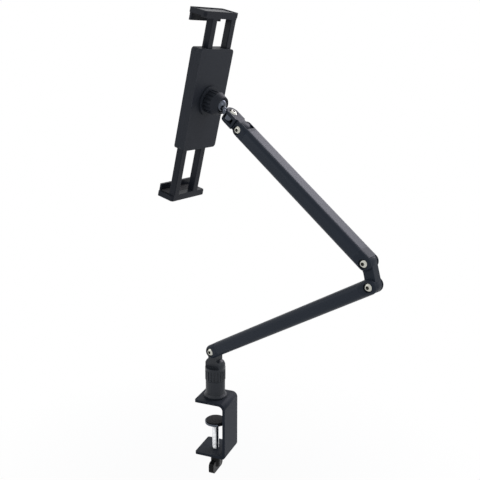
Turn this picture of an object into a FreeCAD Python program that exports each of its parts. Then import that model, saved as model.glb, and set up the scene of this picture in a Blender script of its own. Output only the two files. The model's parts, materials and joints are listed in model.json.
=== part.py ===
"""Dual arm desktop tablet stand: a table clamp, a swivel post, two folding arms and a ball jointed holder.

Millimetres, +Z up. The origin is on the swivel axis, on the underside of the clamp's rubber pad, where the
stand sits on the table. +X points from the throat's mouth to the clamp's spine.
"""
import FreeCAD, Part
import os
import re
from types import SimpleNamespace

import Sketcher
from FreeCAD import Placement, Rotation, Vector

# Every size of the stand, in millimetres, or degrees where the name says angle
SIZES = {
    # Table clamp
    "clamp_width": 43.0,
    "clamp_depth": 43.0,
    "clamp_tip": 20.5,
    "plate_thick": 3.6,
    "throat": 71.4,
    "bend_inner": 6.0,
    "bend_low": 4.0,
    "bend_top": 7.4,
    "tip_round": 2.5,
    "table_pad_depth": 36.0,
    "table_pad_thick": 1.4,
    "table_pad_inset": 1.0,
    # Clamp screw, its disc and its knob
    "screw_radius": 4.5,
    "screw_tip_radius": 3.15,
    "screw_tail_radius": 3.6,
    "screw_tail_long": 10.5,
    "disc_radius": 14.0,
    "disc_thick": 2.8,
    "disc_top": 32.0,
    "disc_pad_radius": 12.5,
    "disc_pad_thick": 1.2,
    "hub_radius": 7.5,
    "hub_low_radius": 5.7,
    "hub_tall": 5.0,
    "knob_top": 83.0,
    "knob_hub_radius": 6.5,
    "knob_hub_tall": 15.0,
    "wing_span": 31.0,
    "wing_thick": 7.0,
    "wing_tall": 15.5,
    "wing_drop": 6.0,
    "wing_round": 5.0,
    # Swivel base
    "base_radius": 12.7,
    "base_top": 27.0,
    "flange_radius": 15.0,
    "flange_tall": 2.6,
    "flange_slope": 2.3,
    "bush_radius": 9.0,
    "bush_floor": 13.0,
    "web_thick": 3.0,
    "web_hole_radius": 3.6,
    "chamber_radius": 9.5,
    "base_screw_circle": 12.0,
    "base_screw_radius": 1.4,
    "base_screw_head": 2.9,
    "base_screw_count": 3,
    "base_screw_reach": 3.8,
    # Swivel head
    "spindle_radius": 7.5,
    "spindle_screw_radius": 2.5,
    "spindle_screw_head": 4.6,
    "spindle_screw_reach": 13.0,
    "spindle_head_tall": 3.6,
    "spindle_washer_radius": 8.6,
    "spindle_washer_thick": 1.3,
    "swivel_washer_thick": 0.9,
    "collar_radius": 13.3,
    "collar_wall": 2.3,
    "collar_tall": 15.4,
    "notch_count": 20,
    "notch_wide": 1.7,
    "notch_deep": 0.9,
    "notch_low": 1.0,
    "notch_tall": 12.4,
    "head_radius": 13.3,
    "head_tall": 12.3,
    "head_slope": 5.0,
    "head_bulge": 0.35,
    "cheek_ledge": 1.6,
    # Arms and their hinges
    "hinge_height": 68.0,
    "lower_length": 260.0,
    "upper_length": 215.0,
    "link_length": 26.0,
    "arm_thick": 24.0,
    "arm_tall": 17.6,
    "arm_round": 6.0,
    "tube_wall": 1.6,
    "seam_reach": 13.0,
    "plug_length": 18.0,
    "fork_gap": 13.6,
    "fork_depth": 8.7,
    "tongue_thick": 12.4,
    "tongue_radius": 8.3,
    "head_neck_half": 6.8,
    "waist_inner": 5.0,
    "waist_outer": 7.8,
    "waist_round": 12.0,
    "hinge_washer_thick": 0.5,
    "hinge_washer_radius": 7.0,
    "bolt_radius": 2.5,
    "bolt_head_radius": 4.6,
    "bolt_head_tall": 2.0,
    "bolt_seat_radius": 5.6,
    "bolt_seat_deep": 2.2,
    "bolt_end_inset": 0.4,
    "hex_radius": 2.3,
    "hex_deep": 1.3,
    "nut_radius": 4.6,
    "nut_tall": 2.6,
    "nut_seat_deep": 2.8,
    # Angles of the photographed pose
    "arm_yaw_angle": -17.0,
    "lower_rise_angle": 30.9,
    "link_rise_angle": 105.9,
    "upper_fall_angle": 36.83,
    "holder_turn_angle": 3.47,
    "holder_tilt_angle": 14.0,
    # Neck and ball stud
    "neck_pivot_reach": 23.0,
    "neck_half": 7.2,
    "cheek_radius": 8.5,
    "neck_wide_from": 9.7,
    "cheek_gap": 6.4,
    "cheek_floor_gap": 1.5,
    "stud_tongue_thick": 6.0,
    "stud_tongue_radius": 7.6,
    "neck_head_radius": 5.0,
    "neck_head_rise": 1.0,
    "neck_seat_deep": 1.2,
    "shoulder_radius": 4.0,
    "shoulder_long": 2.4,
    "shaft_radius": 3.25,
    "ball_reach": 45.0,
    "ball_radius": 8.5,
    # Ball socket and lock nut, along the holder's back normal from the ball's centre
    "liner_thick": 0.95,
    "liner_edge": 2.4,
    "cavity_step": 2.9,
    "lip_reach": 4.0,
    "nose_reach": 5.5,
    "nose_radius": 10.4,
    "nut_body_from": 3.0,
    "nut_outer_radius": 14.0,
    "nut_skirt": 13.6,
    "flute_count": 18,
    "flute_radius": 1.5,
    "flute_circle": 14.7,
    "socket_radius": 11.3,
    "socket_rim": 0.9,
    "socket_flange_radius": 18.0,
    "socket_flange_thick": 2.4,
    "socket_screw_offset": 6.0,
    "socket_screw_radius": 1.5,
    "socket_screw_reach": 5.6,
    "small_head_radius": 2.8,
    "small_head_tall": 1.7,
    # Holder housing
    "ball_standoff": 16.4,
    "housing_deep": 15.0,
    "housing_half_width": 31.0,
    "housing_half_tall": 61.0,
    "housing_wall": 2.7,
    "housing_end_wall": 2.0,
    "housing_corner": 4.0,
    "shell_split": 7.6,
    "boss_radius": 3.6,
    "boss_height": 45.0,
    "housing_screw_radius": 1.4,
    "front_pad_thick": 1.8,
    "front_pad_margin": 4.0,
    "front_pad_round": 5.0,
    # Jaws
    "jaw_half_width": 31.5,
    "jaw_deep": 25.0,
    "jaw_thick": 6.0,
    "jaw_pad_thick": 1.6,
    "jaw_bar_drop": 2.0,
    "jaw_round": 3.0,
    "jaw_dish": 1.0,
    "jaw_rim": 1.6,
    "lip_thick": 2.6,
    "lip_tall": 9.0,
    "rail_wide": 9.5,
    "rail_outer": 24.0,
    "rail_inner": 12.0,
    "rail_long": 100.0,
    "rail_round": 1.0,
    "upper_grip": 95.4,
    "lower_grip": 119.5,
    "spring_radius": 3.2,
    "spring_wall": 0.9,
    # Clearances, how far a cutting tool runs past its piece, and how deep one member roots in the next
    "turn_gap": 0.05,
    "press_gap": 0.02,
    "slide_gap": 0.3,
    "overcut": 1.0,
    "root": 0.5,
}

doc = FreeCAD.newDocument("tablet_stand")
sheet = doc.addObject("Spreadsheet::Sheet", "Sizes")
for row, (alias, number) in enumerate(SIZES.items(), start=1):
    sheet.set(f"A{row}", alias)
    sheet.set(f"B{row}", str(number))
    sheet.setAlias(f"B{row}", alias)
doc.recompute()
size = SimpleNamespace(**{alias: float(sheet.get(alias)) for alias in SIZES})

X = Vector(1, 0, 0)
Y = Vector(0, 1, 0)
Z = Vector(0, 0, 1)
PARTS = {}

# The pieces are drawn from the underside of the clamp's top plate, which its rubber pad lifts off the table
on_table = Placement(Vector(0, 0, size.table_pad_thick), Rotation())


# Helpers that bind objects to the sheet
def in_sheet(formula):
    """A formula in size names, as an expression on the sheet."""
    return re.sub(r"[a-z]\w+", lambda word: "Sizes." + word[0] if word[0] in SIZES else word[0], formula)


def number(formula):
    """The value of a formula in size names."""
    return float(sheet.evalExpression(in_sheet(formula)))


def bind(item, prop, formula):
    item.setExpression(prop, in_sheet(formula))


def fresh(name):
    """An object name that the document doesn't hold yet."""
    return name if doc.getObject(name) is None else f"{name}_{len(doc.Objects)}"


def box(name, across, along, up):
    """A box between three pairs of formulas."""
    item = doc.addObject("Part::Box", fresh(name))
    for prop, base, (low, high) in zip(("Length", "Width", "Height"), "xyz", (across, along, up)):
        bind(item, prop, f"({high}) - ({low})")
        bind(item, "Placement.Base." + base, low)
    return item


TURNS = {"x": Rotation(Y, 90), "y": Rotation(X, -90), "z": Rotation()}


def round_bar(name, axis, span, radius, centre=("0", "0"), end_radius=None):
    """A cylinder, or a cone where an end radius is given, along an axis between two formulas."""
    low, high = span
    item = doc.addObject("Part::Cone" if end_radius else "Part::Cylinder", fresh(name))
    item.Placement = Placement(Vector(), TURNS[axis])
    bind(item, "Height", f"({high}) - ({low})")
    if end_radius:
        bind(item, "Radius1", radius)
        bind(item, "Radius2", end_radius)
    else:
        bind(item, "Radius", radius)
    bind(item, "Placement.Base." + axis, low)
    for other, formula in zip([letter for letter in "xyz" if letter != axis], centre):
        bind(item, "Placement.Base." + other, formula)
    return item


def ball(name, radius):
    item = doc.addObject("Part::Sphere", fresh(name))
    bind(item, "Radius", radius)
    return item


def hexagon(name, axis, span, radius, centre=("0", "0")):
    """A six sided prism along an axis."""
    low, high = span
    item = doc.addObject("Part::Prism", fresh(name))
    item.Polygon = 6
    item.Placement = Placement(Vector(), TURNS[axis])
    bind(item, "Circumradius", radius)
    bind(item, "Height", f"({high}) - ({low})")
    bind(item, "Placement.Base." + axis, low)
    for other, formula in zip([letter for letter in "xyz" if letter != axis], centre):
        bind(item, "Placement.Base." + other, formula)
    return item


def join(name, items):
    item = doc.addObject("Part::MultiFuse", fresh(name))
    item.Shapes = items
    item.Refine = True
    return item


def cut(name, base, tools):
    item = doc.addObject("Part::Cut", fresh(name))
    item.Base = base
    item.Tool = tools[0] if len(tools) == 1 else join(name + "_tools", tools)
    item.Refine = True
    return item


def common(name, first, second):
    item = doc.addObject("Part::Common", fresh(name))
    item.Base = first
    item.Tool = second
    return item


def together(name, items):
    """Several like pieces that share one node."""
    item = doc.addObject("Part::Compound", fresh(name))
    item.Links = items
    return item


def sub_part(label, item, place=Placement()):
    """Gives a finished piece its label and its place in the stand."""
    item.Label = label
    item.Placement = on_table * place
    PARTS[label] = item
    return item


def around(make, count, axis):
    """Copies of one piece, spread round an axis in equal steps."""
    copies = []
    for index in range(int(count)):
        copy = together("copy", [make()])
        copy.Placement = Placement(Vector(), Rotation(axis, 360.0 * index / count))
        copies.append(copy)
    return copies


# Helpers for PartDesign bodies
def new_body(name):
    return doc.addObject("PartDesign::Body", fresh(name))


def plane_sketch(body, name, role):
    sketch = body.newObject("Sketcher::SketchObject", fresh(name))
    plane = [item for item in body.Origin.OriginFeatures if item.Role == role][0]
    sketch.AttachmentSupport = [(plane, "")]
    sketch.MapMode = "FlatFace"
    return sketch


def hold_point(sketch, geometry, point, place):
    """Ties one point of a sketch to two formulas measured from the origin."""
    for kind, formula in zip(("DistanceX", "DistanceY"), place):
        index = sketch.addConstraint(Sketcher.Constraint(kind, -1, 1, geometry, point, number(formula)))
        bind(sketch, f"Constraints[{index}]", formula)


def outline(sketch, corners):
    """A closed outline of straight lines whose corners are pairs of formulas."""
    places = [Vector(number(across), number(up), 0) for across, up in corners]
    first = sketch.GeometryCount
    count = len(corners)
    for index in range(count):
        sketch.addGeometry(Part.LineSegment(places[index], places[(index + 1) % count]))
    for index in range(count):
        following = first + (index + 1) % count
        sketch.addConstraint(Sketcher.Constraint("Coincident", first + index, 2, following, 1))
        hold_point(sketch, first + index, 1, corners[index])


def ring(sketch, centre, radius):
    """A circle whose centre and radius are formulas."""
    middle = Vector(number(centre[0]), number(centre[1]), 0)
    index = sketch.addGeometry(Part.Circle(middle, Z, number(radius)))
    hold_point(sketch, index, 3, centre)
    held = sketch.addConstraint(Sketcher.Constraint("Radius", index, number(radius)))
    bind(sketch, f"Constraints[{held}]", radius)


def pad(body, sketch, length):
    """Extrudes a sketch by half the length to each side of its plane."""
    feature = body.newObject("PartDesign::Pad", fresh("pad"))
    feature.Profile = sketch
    feature.SideType = "Symmetric"
    bind(feature, "Length", length)
    doc.recompute()
    return feature


def pocket(body, sketch, length):
    feature = body.newObject("PartDesign::Pocket", fresh("pocket"))
    feature.Profile = sketch
    feature.SideType = "Symmetric"
    bind(feature, "Length", length)
    doc.recompute()
    return feature


def revolve(body, sketch, axis):
    feature = body.newObject("PartDesign::Revolution", fresh("revolution"))
    feature.Profile = sketch
    feature.ReferenceAxis = (sketch, [axis])
    feature.Angle = 360.0
    doc.recompute()
    return feature


def round_edges(body, radius, wanted):
    """Fillets the edges of a body's last feature that a test picks."""
    feature = body.Tip
    names = [f"Edge{index}" for index, edge in enumerate(feature.Shape.Edges, start=1) if wanted(edge)]
    fillet = body.newObject("PartDesign::Fillet", fresh("fillet"))
    fillet.Base = (feature, names)
    bind(fillet, "Radius", radius)
    doc.recompute()
    return fillet


def near(first, second):
    return abs(first - second) < 0.001


def runs_along(edge, letter):
    """Whether an edge is a straight line along an axis."""
    bounds = edge.BoundBox
    lengths = {"x": bounds.XLength, "y": bounds.YLength, "z": bounds.ZLength}
    return lengths.pop(letter) > 0.1 and max(lengths.values()) < 0.001


def lies_at(edge, letter, places):
    """Whether an edge lies in a plane across an axis at one of some places."""
    bounds = edge.BoundBox
    spans = {"x": (bounds.XMin, bounds.XMax), "y": (bounds.YMin, bounds.YMax), "z": (bounds.ZMin, bounds.ZMax)}
    low, high = spans[letter]
    return near(low, high) and any(near(low, place) for place in places)


def crosses_at(edge, x, z):
    """Whether an edge runs along Y at one X and Z."""
    return runs_along(edge, "y") and lies_at(edge, "x", [x]) and lies_at(edge, "z", [z])


# Table clamp
def clamp_frame():
    body = new_body("clamp_frame")
    sketch = plane_sketch(body, "clamp_profile", "XZ_Plane")
    outline(
        sketch,
        [
            ("-clamp_tip", "0"),
            ("clamp_depth - clamp_tip - plate_thick", "0"),
            ("clamp_depth - clamp_tip - plate_thick", "-throat"),
            ("-clamp_tip", "-throat"),
            ("-clamp_tip", "-throat - plate_thick"),
            ("clamp_depth - clamp_tip", "-throat - plate_thick"),
            ("clamp_depth - clamp_tip", "plate_thick"),
            ("-clamp_tip", "plate_thick"),
        ],
    )
    pad(body, sketch, "clamp_width")
    spine_inner = size.clamp_depth - size.clamp_tip - size.plate_thick
    spine_outer = spine_inner + size.plate_thick
    round_edges(body, "bend_inner", lambda edge: runs_along(edge, "y") and lies_at(edge, "x", [spine_inner]))
    floor_level = -size.throat - size.plate_thick
    round_edges(body, "bend_top", lambda edge: crosses_at(edge, spine_outer, size.plate_thick))
    round_edges(body, "bend_low", lambda edge: crosses_at(edge, spine_outer, floor_level))
    round_edges(body, "tip_round", lambda edge: runs_along(edge, "z") and lies_at(edge, "x", [-size.clamp_tip]))
    screw_hole = round_bar(
        "screw_hole", "z", ("-throat - plate_thick - overcut", "-throat + overcut"), "screw_radius + turn_gap"
    )
    at_circle = ("base_screw_circle", "0")

    def drill():
        return round_bar(
            "base_screw_hole",
            "z",
            ("-overcut", "plate_thick + overcut"),
            "base_screw_radius + turn_gap",
            at_circle,
        )

    def sink():
        return round_bar(
            "base_screw_sink",
            "z",
            ("0", "base_screw_head - base_screw_radius"),
            "base_screw_head + turn_gap",
            at_circle,
            "base_screw_radius + turn_gap",
        )

    holes = around(drill, size.base_screw_count, Z) + around(sink, size.base_screw_count, Z)
    return sub_part("clamp_frame", cut("clamp_frame_drilled", body, [screw_hole] + holes))


def rounded_slab(name, across, along, up, radius, upright="z"):
    """A box with its four edges along one axis rounded."""
    body = new_body(name)
    planes = {"z": "XY_Plane", "x": "YZ_Plane", "y": "XZ_Plane"}
    first, second = {"z": (across, along), "x": (along, up), "y": (across, up)}[upright]
    low, high = {"z": up, "x": across, "y": along}[upright]
    sketch = plane_sketch(body, name + "_outline", planes[upright])
    left, right = first
    low_edge, high_edge = second
    outline(sketch, [(left, low_edge), (right, low_edge), (right, high_edge), (left, high_edge)])
    sketch_plane_offset(sketch, f"(({low}) + ({high})) / 2", upright)
    pad(body, sketch, f"({high}) - ({low})")
    round_edges(body, radius, lambda edge: runs_along(edge, upright))
    return body


def sketch_plane_offset(sketch, formula, upright):
    """Moves a sketch off its plane, along the plane's normal."""
    sign = "-" if upright == "y" else ""
    bind(sketch, "AttachmentOffset.Base.z", f"{sign}({formula})")


def table_pad():
    slab = rounded_slab(
        "table_pad",
        ("-clamp_tip + table_pad_inset", "clamp_depth - clamp_tip - plate_thick - bend_inner - slide_gap"),
        ("-table_pad_depth / 2", "table_pad_depth / 2"),
        ("-table_pad_thick", "0"),
        "tip_round",
    )
    return sub_part("table_pad", slab)


def base_screws():
    at_circle = ("base_screw_circle", "0")

    def screw():
        cone_tall = "base_screw_head - base_screw_radius"
        shank = round_bar(
            "base_shank", "z", (cone_tall, "plate_thick + base_screw_reach"), "base_screw_radius", at_circle
        )
        head = round_bar("base_head", "z", ("0", cone_tall), "base_screw_head", at_circle, "base_screw_radius")
        return join("base_screw", [shank, head])

    return sub_part("base_screws", together("base_screws", around(screw, size.base_screw_count, Z)))


# Clamp screw, pressure disc and wing knob
DISC_LOW = "-disc_top - disc_thick"
HUB_LOW = DISC_LOW + " - hub_tall"


def pressure_disc():
    plate = round_bar("disc_plate", "z", (DISC_LOW, "-disc_top"), "disc_radius")
    hub = round_bar("disc_hub", "z", (HUB_LOW, DISC_LOW), "hub_low_radius", end_radius="hub_radius")
    seat = round_bar("disc_seat", "z", (HUB_LOW + " - overcut", DISC_LOW), "screw_tip_radius + turn_gap")
    return sub_part("pressure_disc", cut("pressure_disc", join("disc_blank", [plate, hub]), [seat]))


def disc_pad():
    facing = round_bar("disc_facing", "z", ("-disc_top", "-disc_top + disc_pad_thick"), "disc_pad_radius")
    return sub_part("disc_pad", together("disc_pad", [facing]))


def clamp_screw():
    shank = round_bar("screw_shank", "z", ("-knob_top", HUB_LOW + " - turn_gap"), "screw_radius")
    tip = round_bar("screw_tip", "z", (HUB_LOW + " - overcut", DISC_LOW + " - turn_gap"), "screw_tip_radius")
    tail = round_bar("screw_tail", "z", ("-knob_top - screw_tail_long", "-knob_top"), "screw_tail_radius")
    return sub_part("clamp_screw", join("clamp_screw", [shank, tip, tail]))


def wing_knob():
    hub = round_bar("knob_hub", "z", ("-knob_top - knob_hub_tall", "-knob_top"), "knob_hub_radius")
    wing = rounded_slab(
        "knob_wing",
        ("-wing_thick / 2", "wing_thick / 2"),
        ("-wing_span / 2", "wing_span / 2"),
        ("-knob_top - wing_drop - wing_tall", "-knob_top - wing_drop"),
        "wing_round",
        upright="x",
    )
    bore = round_bar(
        "knob_bore",
        "z",
        ("-knob_top - screw_tail_long - press_gap", "-knob_top + overcut"),
        "screw_tail_radius + press_gap",
    )
    return sub_part("wing_knob", cut("wing_knob", join("knob_blank", [hub, wing]), [bore]))


# Swivel base and what turns in it
def swivel_base():
    body = new_body("swivel_base")
    sketch = plane_sketch(body, "base_profile", "XZ_Plane")
    outline(
        sketch,
        [
            ("chamber_radius", "plate_thick"),
            ("flange_radius", "plate_thick"),
            ("flange_radius", "plate_thick + flange_tall"),
            ("base_radius", "plate_thick + flange_tall + flange_slope"),
            ("base_radius", "base_top"),
            ("bush_radius", "base_top"),
            ("bush_radius", "bush_floor"),
            ("web_hole_radius", "bush_floor"),
            ("web_hole_radius", "bush_floor - web_thick"),
            ("chamber_radius", "bush_floor - web_thick"),
        ],
    )
    revolve(body, sketch, "V_Axis")

    def tapping():
        return round_bar(
            "base_tapping",
            "z",
            ("plate_thick - overcut", "plate_thick + base_screw_reach + turn_gap"),
            "base_screw_radius + turn_gap",
            ("base_screw_circle", "0"),
        )

    tappings = around(tapping, size.base_screw_count, Z)
    return sub_part("swivel_base", cut("swivel_base_drilled", body, tappings))


def swivel_bush():
    sleeve = round_bar("bush_sleeve", "z", ("bush_floor", "base_top"), "bush_radius - press_gap")
    bore = round_bar(
        "bush_bore", "z", ("bush_floor - overcut", "base_top + overcut"), "spindle_radius + turn_gap"
    )
    return sub_part("swivel_bush", cut("swivel_bush", sleeve, [bore]))


def swivel_washer():
    disc = round_bar(
        "swivel_disc", "z", ("base_top", "base_top + swivel_washer_thick"), "base_radius - slide_gap"
    )
    bore = round_bar(
        "swivel_disc_bore",
        "z",
        ("base_top - overcut", "base_top + swivel_washer_thick + overcut"),
        "spindle_radius + slide_gap",
    )
    return sub_part("swivel_washer", cut("swivel_washer", disc, [bore]))


def swivel_collar():
    low = "base_top + swivel_washer_thick + turn_gap"
    top = low + " + collar_tall"
    outer = round_bar("collar_outer", "z", (low, top), "collar_radius")
    bore = round_bar(
        "collar_bore", "z", (low + " - overcut", top + " + overcut"), "collar_radius - collar_wall + press_gap"
    )

    def notch():
        return box(
            "collar_notch",
            ("collar_radius - notch_deep", "collar_radius + overcut"),
            ("-notch_wide / 2", "notch_wide / 2"),
            (low + " + notch_low", low + " + notch_low + notch_tall"),
        )

    notches = around(notch, size.notch_count, Z)
    return sub_part("swivel_collar", cut("swivel_collar", outer, [bore] + notches), swing)


def swivel_head():
    collar_low = "base_top + swivel_washer_thick + turn_gap"
    shoulder = collar_low + " + collar_tall"
    body = new_body("swivel_head")
    sketch = plane_sketch(body, "head_profile", "XZ_Plane")
    outline(
        sketch,
        [
            ("0", "bush_floor + slide_gap"),
            ("spindle_radius", "bush_floor + slide_gap"),
            ("spindle_radius", collar_low),
            ("collar_radius - collar_wall", collar_low),
            ("collar_radius - collar_wall", shoulder),
            ("head_radius", shoulder),
            ("head_radius", shoulder + " + head_tall - head_slope"),
            ("head_radius - head_slope * head_bulge", shoulder + " + head_tall - head_slope * head_bulge"),
            ("head_radius - head_slope", shoulder + " + head_tall"),
            ("0", shoulder + " + head_tall"),
        ],
    )
    revolve(body, sketch, "V_Axis")
    neck = box(
        "head_neck",
        ("-head_neck_half", "head_neck_half"),
        ("-tongue_thick / 2", "tongue_thick / 2"),
        (shoulder + " + head_tall - head_slope", "hinge_height"),
    )
    knuckle = round_bar(
        "head_knuckle", "y", ("-tongue_thick / 2", "tongue_thick / 2"), "tongue_radius", ("0", "hinge_height")
    )
    cheeks = [
        box(
            "head_cheek",
            ("-head_radius - overcut", "head_radius + overcut"),
            sides,
            (shoulder + " + cheek_ledge", "hinge_height"),
        )
        for sides in (
            ("tongue_thick / 2", "head_radius + overcut"),
            ("-head_radius - overcut", "-tongue_thick / 2"),
        )
    ]
    pin_hole = round_bar(
        "head_pin_hole", "y", ("-head_radius", "head_radius"), "bolt_radius + turn_gap", ("0", "hinge_height")
    )
    tapping = round_bar(
        "head_tapping",
        "z",
        ("bush_floor - overcut", "bush_floor + slide_gap + spindle_screw_reach"),
        "spindle_screw_radius + press_gap",
    )
    blank = join("head_blank", [body, neck, knuckle])
    return sub_part("swivel_head", cut("swivel_head_cut", blank, cheeks + [pin_hole, tapping]), swing)


def spindle_screw():
    washer_top = "bush_floor - web_thick - turn_gap"
    washer_low = washer_top + " - spindle_washer_thick"
    head_low = washer_low + " - spindle_head_tall"
    head = round_bar("spindle_head", "z", (head_low, washer_low), "spindle_screw_head")
    shank_top = "bush_floor + spindle_screw_reach"
    shank = round_bar("spindle_shank", "z", (washer_low, shank_top), "spindle_screw_radius")
    socket = hexagon(
        "spindle_socket",
        "z",
        (head_low + " - overcut", head_low + " + spindle_head_tall / 2"),
        "spindle_screw_radius",
    )
    blank = join("spindle_blank", [head, shank])
    return sub_part("spindle_screw", cut("spindle_screw", blank, [socket]), swing)


def spindle_washer():
    washer_top = "bush_floor - web_thick - turn_gap"
    washer_low = washer_top + " - spindle_washer_thick"
    disc = round_bar("spindle_disc", "z", (washer_low, washer_top), "spindle_washer_radius")
    bore = round_bar(
        "spindle_disc_bore",
        "z",
        (washer_low + " - overcut", washer_top + " + overcut"),
        "spindle_screw_radius + turn_gap",
    )
    return sub_part("spindle_washer", cut("spindle_washer", disc, [bore]), swing)


# Arm pieces, each along +X from its hinge, with the hinge axis along Y and the bolt's head on the -Y side
def arm_tube(label, length, place):
    body = new_body(label)
    section = plane_sketch(body, label + "_section", "YZ_Plane")
    half_wide, half_tall = "arm_thick / 2", "arm_tall / 2"
    rectangle = [
        ("-" + half_wide, "-" + half_tall),
        (half_wide, "-" + half_tall),
        (half_wide, half_tall),
        ("-" + half_wide, half_tall),
    ]
    outline(section, rectangle)
    bind(section, "AttachmentOffset.Base.z", length + " / 2")
    pad(body, section, length + " - 2 * seam_reach")
    round_edges(body, "arm_round", lambda edge: runs_along(edge, "x"))
    bore = rounded_slab(
        label + "_bore",
        ("0", length),
        ("-arm_thick / 2 + tube_wall", "arm_thick / 2 - tube_wall"),
        ("-arm_tall / 2 + tube_wall", "arm_tall / 2 - tube_wall"),
        "arm_round - tube_wall",
        upright="x",
    )
    return sub_part(label, cut(label + "_hollow", body, [bore]), place)


def arm_fitting(label, place, swings="both ways"):
    """A fork on a plug. Its slot is open on both edges, or only on the upper one (+Z) where the link swings up."""
    body = new_body(label)
    side = plane_sketch(body, label + "_side", "XZ_Plane")
    outline(
        side,
        [
            ("0", "-arm_tall / 2"),
            ("seam_reach", "-arm_tall / 2"),
            ("seam_reach", "arm_tall / 2"),
            ("0", "arm_tall / 2"),
        ],
    )
    pad(body, side, "arm_thick")
    knuckle = plane_sketch(body, label + "_knuckle", "XZ_Plane")
    ring(knuckle, ("0", "0"), "arm_tall / 2")
    pad(body, knuckle, "arm_thick")
    sides = [-size.arm_thick / 2, size.arm_thick / 2]
    round_edges(
        body,
        "arm_round",
        lambda edge: lies_at(edge, "y", sides) and not lies_at(edge, "x", [size.seam_reach]),
    )
    plug = rounded_slab(
        label + "_plug",
        ("seam_reach - overcut", "seam_reach + plug_length"),
        ("-arm_thick / 2 + tube_wall + turn_gap", "arm_thick / 2 - tube_wall - turn_gap"),
        ("-arm_tall / 2 + tube_wall + turn_gap", "arm_tall / 2 - tube_wall - turn_gap"),
        "arm_round - tube_wall",
        upright="x",
    )
    between_ears = ("-fork_gap / 2", "fork_gap / 2")
    if swings == "both ways":
        slots = [box(label + "_fork", ("-arm_tall", "fork_depth"), between_ears, ("-arm_tall", "arm_tall"))]
    else:
        slots = [
            box(label + "_mouth", ("-arm_tall", "0"), between_ears, ("-arm_tall", "arm_tall")),
            box(label + "_swing", ("-overcut", "fork_depth"), between_ears, ("0", "arm_tall")),
            round_bar(label + "_cup", "y", between_ears, "fork_depth"),
        ]
    bolt_hole = round_bar(label + "_bolt_hole", "y", ("-arm_thick", "arm_thick"), "bolt_radius + turn_gap")
    head_seat = round_bar(
        label + "_head_seat",
        "y",
        ("-arm_thick / 2 - overcut", "-arm_thick / 2 + bolt_seat_deep"),
        "bolt_seat_radius",
    )
    nut_seat = hexagon(
        label + "_nut_seat",
        "y",
        ("arm_thick / 2 - nut_seat_deep", "arm_thick / 2 + overcut"),
        "nut_radius + turn_gap",
    )
    blank = join(label + "_blank", [body, plug])
    return sub_part(label, cut(label + "_cut", blank, slots + [bolt_hole, head_seat, nut_seat]), place)


def hinge_bolt(place):
    seat = "-arm_thick / 2 + bolt_seat_deep"
    top = seat + " - bolt_head_tall"
    head = round_bar("bolt_head", "y", (top, seat), "bolt_head_radius")
    shank = round_bar("bolt_shank", "y", (seat, "arm_thick / 2 - bolt_end_inset"), "bolt_radius")
    socket = hexagon("bolt_socket", "y", (top + " - overcut", top + " + hex_deep"), "hex_radius")
    bolt = cut("hinge_bolt", join("bolt_blank", [head, shank]), [socket])
    bolt.Placement = place
    return bolt


def hinge_nut(place):
    low = "arm_thick / 2 - nut_seat_deep"
    prism = hexagon("nut_prism", "y", (low, low + " + nut_tall"), "nut_radius")
    bore = round_bar(
        "nut_bore", "y", (low + " - overcut", low + " + nut_tall + overcut"), "bolt_radius + press_gap"
    )
    nut = cut("hinge_nut", prism, [bore])
    nut.Placement = place
    return nut


def hinge_washer(place, side):
    inner = "fork_gap / 2 - hinge_washer_thick"
    span = (inner, "fork_gap / 2") if side > 0 else ("-fork_gap / 2", f"-({inner})")
    disc = round_bar("washer_disc", "y", span, "hinge_washer_radius")
    bore = round_bar("washer_bore", "y", ("-fork_gap", "fork_gap"), "bolt_radius + turn_gap")
    washer = cut("hinge_washer", disc, [bore])
    washer.Placement = place
    return washer


def arm_hardware(prefix, places):
    """The bolts, nuts and friction washers of one arm's two hinges."""
    sub_part(prefix + "_bolts", together(prefix + "_bolts", [hinge_bolt(place) for place in places]))
    sub_part(prefix + "_nuts", together(prefix + "_nuts", [hinge_nut(place) for place in places]))
    washers = [hinge_washer(place, side) for place in places for side in (-1, 1)]
    sub_part(prefix + "_washers", together(prefix + "_washers", washers))


def elbow_link(place):
    body = new_body("elbow_link")
    sketch = plane_sketch(body, "link_waist", "XZ_Plane")
    outline(
        sketch,
        [
            ("0", "-waist_outer"),
            ("link_length", "-waist_outer"),
            ("link_length", "waist_inner"),
            ("0", "waist_inner"),
        ],
    )
    pad(body, sketch, "tongue_thick")
    for centre in ("0", "link_length"):
        end = plane_sketch(body, "link_end", "XZ_Plane")
        ring(end, (centre, "0"), "tongue_radius")
        pad(body, end, "tongue_thick")
    waist = [-size.waist_outer, size.waist_inner]
    round_edges(body, "waist_round", lambda edge: runs_along(edge, "y") and lies_at(edge, "z", waist))
    holes = [
        round_bar("link_hole", "y", ("-tongue_thick", "tongue_thick"), "bolt_radius + turn_gap", (centre, "0"))
        for centre in ("0", "link_length")
    ]
    return sub_part("elbow_link", cut("elbow_link_drilled", body, holes), place)


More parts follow.
